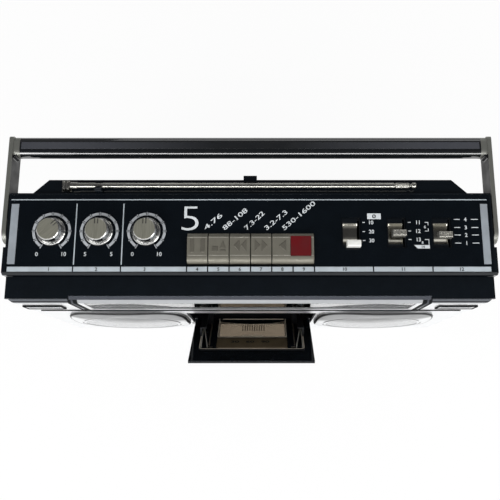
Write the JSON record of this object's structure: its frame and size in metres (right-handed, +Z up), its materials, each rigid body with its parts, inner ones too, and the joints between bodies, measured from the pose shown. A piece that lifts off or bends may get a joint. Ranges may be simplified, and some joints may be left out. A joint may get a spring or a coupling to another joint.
{
  "type": "radio cassette player",
  "caption": "Portable radio cassette player with folding handle, top controls, telescopic antenna, dial window and a hinged cassette door shown open.",
  "frame": {"origin": "on the table under the middle of the whole, with the handle folded back and the cassette door open", "axes": "+X to the right as the listener sees it, +Y to the back, +Z up"},
  "size_m": [0.439, 0.2, 0.2397],
  "materials": {
    "silver_front": "silver paint on plastic",
    "gloss_black": "gloss black",
    "satin_black": "satin black",
    "chrome": "polished",
    "clear_window": "clear plastic",
    "smoked_window": "smoked clear plastic",
    "scale_print": "printed",
    "red_plastic": "satin",
    "knob_metal": "brushed, with bright edges",
    "grille_metal": "silver, perforated",
    "cone_black": "paper",
    "zinc": "plated",
    "key_metal": "metal coating on plastic",
    "handle_metal": "satin",
    "board_green": "circuit board",
    "rubber": "matte"
  },
  "bodies": {
    "cabinet": {"front_cabinet": "silver_front", "front_top_rail": "gloss_black", "rear_cabinet": "satin_black", "top_cover": "gloss_black", "control_plate": "gloss_black", "dial_trim": "chrome", "dial_window": "clear_window", "dial_scale": "scale_print", "grille_left": "grille_metal", "grille_right": "grille_metal", "woofer_left": "cone_black", "woofer_right": "cone_black", "tweeter_left": "satin_black", "tweeter_right": "satin_black", "potentiometers": "zinc", "key_shaft": "zinc", "switch_wells": "chrome", "slide_switches": "satin_black", "handle_pins": "chrome", "antenna_base": "satin_black", "antenna_clip": "satin_black", "deck_chassis": "satin_black", "drive_motor": "zinc", "tape_head": "chrome", "main_board": "board_green", "transformer": "zinc", "mains_inlet": "satin_black", "socket_panel": "satin_black", "battery_contacts": "zinc", "feet": "rubber", "cabinet_screws": "zinc"},
    "handle": {"handle_arm_left": "handle_metal", "handle_arm_right": "handle_metal", "handle_grip": "gloss_black"},
    "tuning_control": {"tuning_knob": "knob_metal"},
    "pointer": {"tuning_pointer": "red_plastic"},
    "volume": {"volume_knob": "knob_metal"},
    "balance": {"balance_knob": "knob_metal"},
    "tone": {"tone_knob": "knob_metal"},
    "pause": {"pause_key": "key_metal"},
    "stop": {"stop_key": "key_metal"},
    "forward": {"forward_key": "key_metal"},
    "rewind": {"rewind_key": "key_metal"},
    "play": {"play_key": "key_metal"},
    "record": {"record_key": "red_plastic"},
    "function": {"function_tab": "key_metal"},
    "mode": {"mode_tab": "key_metal"},
    "band": {"band_tab": "key_metal"},
    "antenna": {"antenna_knuckle": "chrome", "antenna_outer_tube": "chrome"},
    "antenna_middle": {"antenna_middle_tube": "chrome"},
    "antenna_tip": {"antenna_tip_rod": "chrome"},
    "door": {"cassette_door": "gloss_black", "door_window": "smoked_window", "door_guides": "satin_black", "door_springs": "zinc"},
    "supply": {"supply_spindle": "satin_black"},
    "take_up": {"take_up_spindle": "satin_black"},
    "drive": {"capstan": "zinc"},
    "hatch": {"battery_door": "satin_black"}
  },
  "joints": [
    {"name": "handle_fold", "type": "hinge", "parent": "cabinet", "child": "handle", "pos_m": [0, 0.01108, 0.2175], "axis": [1, 0, 0], "range_deg": [0, 90]},
    {"name": "tuning_turn", "type": "hinge", "parent": "cabinet", "child": "tuning_control", "pos_m": [0.215, 0.01908, 0.178], "axis": [1, 0, 0], "range_deg": [-540, 540]},
    {"name": "pointer_travel", "type": "slide", "parent": "cabinet", "child": "pointer", "axis": [1, 0, 0], "range_m": [-0.12, 0.12]},
    {"name": "volume_turn", "type": "hinge", "parent": "cabinet", "child": "volume", "pos_m": [-0.175, 0.00948, 0.228], "axis": [0, 0, 1], "range_deg": [-105, 195]},
    {"name": "balance_turn", "type": "hinge", "parent": "cabinet", "child": "balance", "pos_m": [-0.1332, 0.00948, 0.228], "axis": [0, 0, 1], "range_deg": [-150, 150]},
    {"name": "tone_turn", "type": "hinge", "parent": "cabinet", "child": "tone", "pos_m": [-0.0914, 0.00948, 0.228], "axis": [0, 0, 1], "range_deg": [-150, 150]},
    {"name": "pause_press", "type": "hinge", "parent": "cabinet", "child": "pause", "pos_m": [-0.0459, 0.02908, 0.212], "axis": [1, 0, 0], "range_deg": [0, 5.5], "stiffness_Nm_per_rad": 1, "springref_deg": -3.44},
    {"name": "stop_press", "type": "hinge", "parent": "cabinet", "child": "stop", "pos_m": [-0.0273, 0.02908, 0.212], "axis": [1, 0, 0], "range_deg": [0, 5.5], "stiffness_Nm_per_rad": 1, "springref_deg": -3.44},
    {"name": "forward_press", "type": "hinge", "parent": "cabinet", "child": "forward", "pos_m": [-0.0087, 0.02908, 0.212], "axis": [1, 0, 0], "range_deg": [0, 5.5], "stiffness_Nm_per_rad": 1, "springref_deg": -3.44},
    {"name": "rewind_press", "type": "hinge", "parent": "cabinet", "child": "rewind", "pos_m": [0.0099, 0.02908, 0.212], "axis": [1, 0, 0], "range_deg": [0, 5.5], "stiffness_Nm_per_rad": 1, "springref_deg": -3.44},
    {"name": "play_press", "type": "hinge", "parent": "cabinet", "child": "play", "pos_m": [0.0285, 0.02908, 0.212], "axis": [1, 0, 0], "range_deg": [0, 5.5], "stiffness_Nm_per_rad": 1, "springref_deg": -3.44},
    {"name": "record_press", "type": "slide", "parent": "play", "child": "record", "axis": [0, 0, -1], "range_m": [0, 0.0012], "stiffness_N_per_m": 60, "springref_m": -0.002},
    {"name": "function_slide", "type": "slide", "parent": "cabinet", "child": "function", "axis": [0, 1, 0], "range_m": [0, 0.016]},
    {"name": "mode_slide", "type": "slide", "parent": "cabinet", "child": "mode", "axis": [0, 1, 0], "range_m": [-0.008, 0.008]},
    {"name": "band_slide", "type": "slide", "parent": "cabinet", "child": "band", "axis": [0, 1, 0], "range_m": [-0.006, 0.012]},
    {"name": "antenna_tilt", "type": "hinge", "parent": "cabinet", "child": "antenna", "pos_m": [-0.164, 0.05108, 0.2312], "axis": [0, -1, 0], "range_deg": [0, 90]},
    {"name": "antenna_draw_middle", "type": "slide", "parent": "antenna", "child": "antenna_middle", "axis": [1, 0, 0], "range_m": [0, 0.255]},
    {"name": "antenna_draw_tip", "type": "slide", "parent": "antenna_middle", "child": "antenna_tip", "axis": [1, 0, 0], "range_m": [0, 0.255]},
    {"name": "door_swing", "type": "hinge", "parent": "cabinet", "child": "door", "pos_m": [0, -0.04592, 0.0562], "axis": [-1, 0, 0], "range_deg": [0, 34.5]},
    {"name": "supply_turn", "type": "hinge", "parent": "cabinet", "child": "supply", "pos_m": [-0.02125, -0.03092, 0.096], "axis": [0, 1, 0], "continuous": true},
    {"name": "take_up_turn", "type": "hinge", "parent": "cabinet", "child": "take_up", "pos_m": [0.02125, -0.03092, 0.096], "axis": [0, 1, 0], "continuous": true},
    {"name": "capstan_turn", "type": "hinge", "parent": "cabinet", "child": "drive", "pos_m": [0.027, -0.03092, 0.118], "axis": [0, 1, 0], "continuous": true},
    {"name": "battery_door_swing", "type": "hinge", "parent": "cabinet", "child": "hatch", "pos_m": [0, 0.05658, 0.017], "axis": [-1, 0, 0], "range_deg": [0, 95]}
  ],
  "couplings": [
    {"joint": "pointer_travel", "follows": "tuning_turn", "m_per_rad": 0.012732},
    {"joint": "take_up_turn", "follows": "capstan_turn", "ratio": 0.15}
  ]
}
